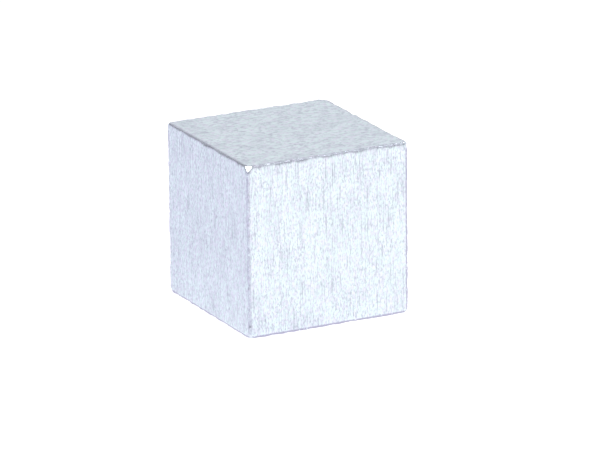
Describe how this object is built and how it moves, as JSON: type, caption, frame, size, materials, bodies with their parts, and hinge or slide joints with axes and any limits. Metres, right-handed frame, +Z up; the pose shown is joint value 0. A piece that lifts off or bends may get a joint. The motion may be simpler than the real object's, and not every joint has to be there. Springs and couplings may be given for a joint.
{
  "type": "mirror block puzzle cube",
  "caption": "Plain bare-metal puzzle cube of unequal blocks whose faces each turn about a hidden sprung core; a perfect cube when solved.",
  "frame": {"origin": "middle of the bottom face, which is the middle of the bounding box's bottom", "axes": "+Z up through the top layer; -Y is the front face (front layer 15 mm thick); -X is the left face (left layer 12 mm thick)"},
  "size_m": [0.057, 0.057, 0.057],
  "materials": {
    "bare_aluminium": "bare aluminium, lapped flat with the blocks closed up and brushed in one direction on each face, satin bright",
    "black_plastic": "black moulded plastic, slightly greased",
    "bright_steel": "bright drawn and turned steel"
  },
  "bodies": {
    "core": {"core": "black_plastic", "screw_left": "bright_steel", "washer_left": "bright_steel", "spring_left": "bright_steel", "screw_right": "bright_steel", "washer_right": "bright_steel", "spring_right": "bright_steel", "screw_front": "bright_steel", "washer_front": "bright_steel", "spring_front": "bright_steel", "screw_back": "bright_steel", "washer_back": "bright_steel", "spring_back": "bright_steel", "screw_bottom": "bright_steel", "washer_bottom": "bright_steel", "spring_bottom": "bright_steel", "screw_top": "bright_steel", "washer_top": "bright_steel", "spring_top": "bright_steel"},
    "center_left": {"hub_left": "black_plastic", "center_left": "bare_aluminium"},
    "center_right": {"hub_right": "black_plastic", "center_right": "bare_aluminium"},
    "center_front": {"hub_front": "black_plastic", "center_front": "bare_aluminium"},
    "center_back": {"hub_back": "black_plastic", "center_back": "bare_aluminium"},
    "center_bottom": {"hub_bottom": "black_plastic", "center_bottom": "bare_aluminium"},
    "center_top": {"hub_top": "black_plastic", "center_top": "bare_aluminium"},
    "edge_left_front": {"edge_left_front": "bare_aluminium"},
    "edge_left_back": {"edge_left_back": "bare_aluminium"},
    "edge_left_bottom": {"edge_left_bottom": "bare_aluminium"},
    "edge_left_top": {"edge_left_top": "bare_aluminium"},
    "edge_right_front": {"edge_right_front": "bare_aluminium"},
    "edge_right_back": {"edge_right_back": "bare_aluminium"},
    "edge_right_bottom": {"edge_right_bottom": "bare_aluminium"},
    "edge_right_top": {"edge_right_top": "bare_aluminium"},
    "edge_front_bottom": {"edge_front_bottom": "bare_aluminium"},
    "edge_front_top": {"edge_front_top": "bare_aluminium"},
    "edge_back_bottom": {"edge_back_bottom": "bare_aluminium"},
    "edge_back_top": {"edge_back_top": "bare_aluminium"},
    "corner_left_front_bottom": {"corner_left_front_bottom": "bare_aluminium"},
    "corner_left_front_top": {"corner_left_front_top": "bare_aluminium"},
    "corner_left_back_bottom": {"corner_left_back_bottom": "bare_aluminium"},
    "corner_left_back_top": {"corner_left_back_top": "bare_aluminium"},
    "corner_right_front_bottom": {"corner_right_front_bottom": "bare_aluminium"},
    "corner_right_front_top": {"corner_right_front_top": "bare_aluminium"},
    "corner_right_back_bottom": {"corner_right_back_bottom": "bare_aluminium"},
    "corner_right_back_top": {"corner_right_back_top": "bare_aluminium"}
  },
  "joints": [
    {"name": "left_face_turn", "type": "hinge", "parent": "core", "child": "center_left", "pos_m": [-0.0075, -0.0045, 0.027], "axis": [-1, 0, 0], "continuous": true},
    {"name": "right_face_turn", "type": "hinge", "parent": "core", "child": "center_right", "pos_m": [-0.0075, -0.0045, 0.027], "axis": [1, 0, 0], "continuous": true},
    {"name": "front_face_turn", "type": "hinge", "parent": "core", "child": "center_front", "pos_m": [-0.0075, -0.0045, 0.027], "axis": [0, -1, 0], "continuous": true},
    {"name": "back_face_turn", "type": "hinge", "parent": "core", "child": "center_back", "pos_m": [-0.0075, -0.0045, 0.027], "axis": [0, 1, 0], "continuous": true},
    {"name": "bottom_face_turn", "type": "hinge", "parent": "core", "child": "center_bottom", "pos_m": [-0.0075, -0.0045, 0.027], "axis": [0, 0, -1], "continuous": true},
    {"name": "top_face_turn", "type": "hinge", "parent": "core", "child": "center_top", "pos_m": [-0.0075, -0.0045, 0.027], "axis": [0, 0, 1], "continuous": true},
    {"name": "edge_left_front_with_front", "type": "hinge", "parent": "center_left", "child": "edge_left_front", "pos_m": [-0.0075, -0.0045, 0.027], "axis": [0, -1, 0], "continuous": true},
    {"name": "edge_left_back_with_back", "type": "hinge", "parent": "center_left", "child": "edge_left_back", "pos_m": [-0.0075, -0.0045, 0.027], "axis": [0, 1, 0], "continuous": true},
    {"name": "edge_left_bottom_with_left", "type": "hinge", "parent": "center_bottom", "child": "edge_left_bottom", "pos_m": [-0.0075, -0.0045, 0.027], "axis": [-1, 0, 0], "continuous": true},
    {"name": "edge_left_top_with_left", "type": "hinge", "parent": "center_top", "child": "edge_left_top", "pos_m": [-0.0075, -0.0045, 0.027], "axis": [-1, 0, 0], "continuous": true},
    {"name": "edge_right_front_with_front", "type": "hinge", "parent": "center_right", "child": "edge_right_front", "pos_m": [-0.0075, -0.0045, 0.027], "axis": [0, -1, 0], "continuous": true},
    {"name": "edge_right_back_with_back", "type": "hinge", "parent": "center_right", "child": "edge_right_back", "pos_m": [-0.0075, -0.0045, 0.027], "axis": [0, 1, 0], "continuous": true},
    {"name": "edge_right_bottom_with_right", "type": "hinge", "parent": "center_bottom", "child": "edge_right_bottom", "pos_m": [-0.0075, -0.0045, 0.027], "axis": [1, 0, 0], "continuous": true},
    {"name": "edge_right_top_with_right", "type": "hinge", "parent": "center_top", "child": "edge_right_top", "pos_m": [-0.0075, -0.0045, 0.027], "axis": [1, 0, 0], "continuous": true},
    {"name": "edge_front_bottom_with_bottom", "type": "hinge", "parent": "center_front", "child": "edge_front_bottom", "pos_m": [-0.0075, -0.0045, 0.027], "axis": [0, 0, -1], "continuous": true},
    {"name": "edge_front_top_with_top", "type": "hinge", "parent": "center_front", "child": "edge_front_top", "pos_m": [-0.0075, -0.0045, 0.027], "axis": [0, 0, 1], "continuous": true},
    {"name": "edge_back_bottom_with_bottom", "type": "hinge", "parent": "center_back", "child": "edge_back_bottom", "pos_m": [-0.0075, -0.0045, 0.027], "axis": [0, 0, -1], "continuous": true},
    {"name": "edge_back_top_with_top", "type": "hinge", "parent": "center_back", "child": "edge_back_top", "pos_m": [-0.0075, -0.0045, 0.027], "axis": [0, 0, 1], "continuous": true},
    {"name": "corner_left_front_bottom_with_left", "type": "hinge", "parent": "edge_front_bottom", "child": "corner_left_front_bottom", "pos_m": [-0.0075, -0.0045, 0.027], "axis": [-1, 0, 0], "continuous": true},
    {"name": "corner_left_front_top_with_left", "type": "hinge", "parent": "edge_front_top", "child": "corner_left_front_top", "pos_m": [-0.0075, -0.0045, 0.027], "axis": [-1, 0, 0], "continuous": true},
    {"name": "corner_left_back_bottom_with_left", "type": "hinge", "parent": "edge_back_bottom", "child": "corner_left_back_bottom", "pos_m": [-0.0075, -0.0045, 0.027], "axis": [-1, 0, 0], "continuous": true},
    {"name": "corner_left_back_top_with_left", "type": "hinge", "parent": "edge_back_top", "child": "corner_left_back_top", "pos_m": [-0.0075, -0.0045, 0.027], "axis": [-1, 0, 0], "continuous": true},
    {"name": "corner_right_front_bottom_with_right", "type": "hinge", "parent": "edge_front_bottom", "child": "corner_right_front_bottom", "pos_m": [-0.0075, -0.0045, 0.027], "axis": [1, 0, 0], "continuous": true},
    {"name": "corner_right_front_top_with_right", "type": "hinge", "parent": "edge_front_top", "child": "corner_right_front_top", "pos_m": [-0.0075, -0.0045, 0.027], "axis": [1, 0, 0], "continuous": true},
    {"name": "corner_right_back_bottom_with_right", "type": "hinge", "parent": "edge_back_bottom", "child": "corner_right_back_bottom", "pos_m": [-0.0075, -0.0045, 0.027], "axis": [1, 0, 0], "continuous": true},
    {"name": "corner_right_back_top_with_right", "type": "hinge", "parent": "edge_back_top", "child": "corner_right_back_top", "pos_m": [-0.0075, -0.0045, 0.027], "axis": [1, 0, 0], "continuous": true}
  ],
  "couplings": [
    {"joint": "edge_left_front_with_front", "follows": "front_face_turn", "ratio": 1},
    {"joint": "edge_left_back_with_back", "follows": "back_face_turn", "ratio": 1},
    {"joint": "edge_left_bottom_with_left", "follows": "left_face_turn", "ratio": 1},
    {"joint": "edge_left_top_with_left", "follows": "left_face_turn", "ratio": 1},
    {"joint": "edge_right_front_with_front", "follows": "front_face_turn", "ratio": 1},
    {"joint": "edge_right_back_with_back", "follows": "back_face_turn", "ratio": 1},
    {"joint": "edge_right_bottom_with_right", "follows": "right_face_turn", "ratio": 1},
    {"joint": "edge_right_top_with_right", "follows": "right_face_turn", "ratio": 1},
    {"joint": "edge_front_bottom_with_bottom", "follows": "bottom_face_turn", "ratio": 1},
    {"joint": "edge_front_top_with_top", "follows": "top_face_turn", "ratio": 1},
    {"joint": "edge_back_bottom_with_bottom", "follows": "bottom_face_turn", "ratio": 1},
    {"joint": "edge_back_top_with_top", "follows": "top_face_turn", "ratio": 1},
    {"joint": "corner_left_front_bottom_with_left", "follows": "left_face_turn", "ratio": 1},
    {"joint": "corner_left_front_top_with_left", "follows": "left_face_turn", "ratio": 1},
    {"joint": "corner_left_back_bottom_with_left", "follows": "left_face_turn", "ratio": 1},
    {"joint": "corner_left_back_top_with_left", "follows": "left_face_turn", "ratio": 1},
    {"joint": "corner_right_front_bottom_with_right", "follows": "right_face_turn", "ratio": 1},
    {"joint": "corner_right_front_top_with_right", "follows": "right_face_turn", "ratio": 1},
    {"joint": "corner_right_back_bottom_with_right", "follows": "right_face_turn", "ratio": 1},
    {"joint": "corner_right_back_top_with_right", "follows": "right_face_turn", "ratio": 1}
  ]
}
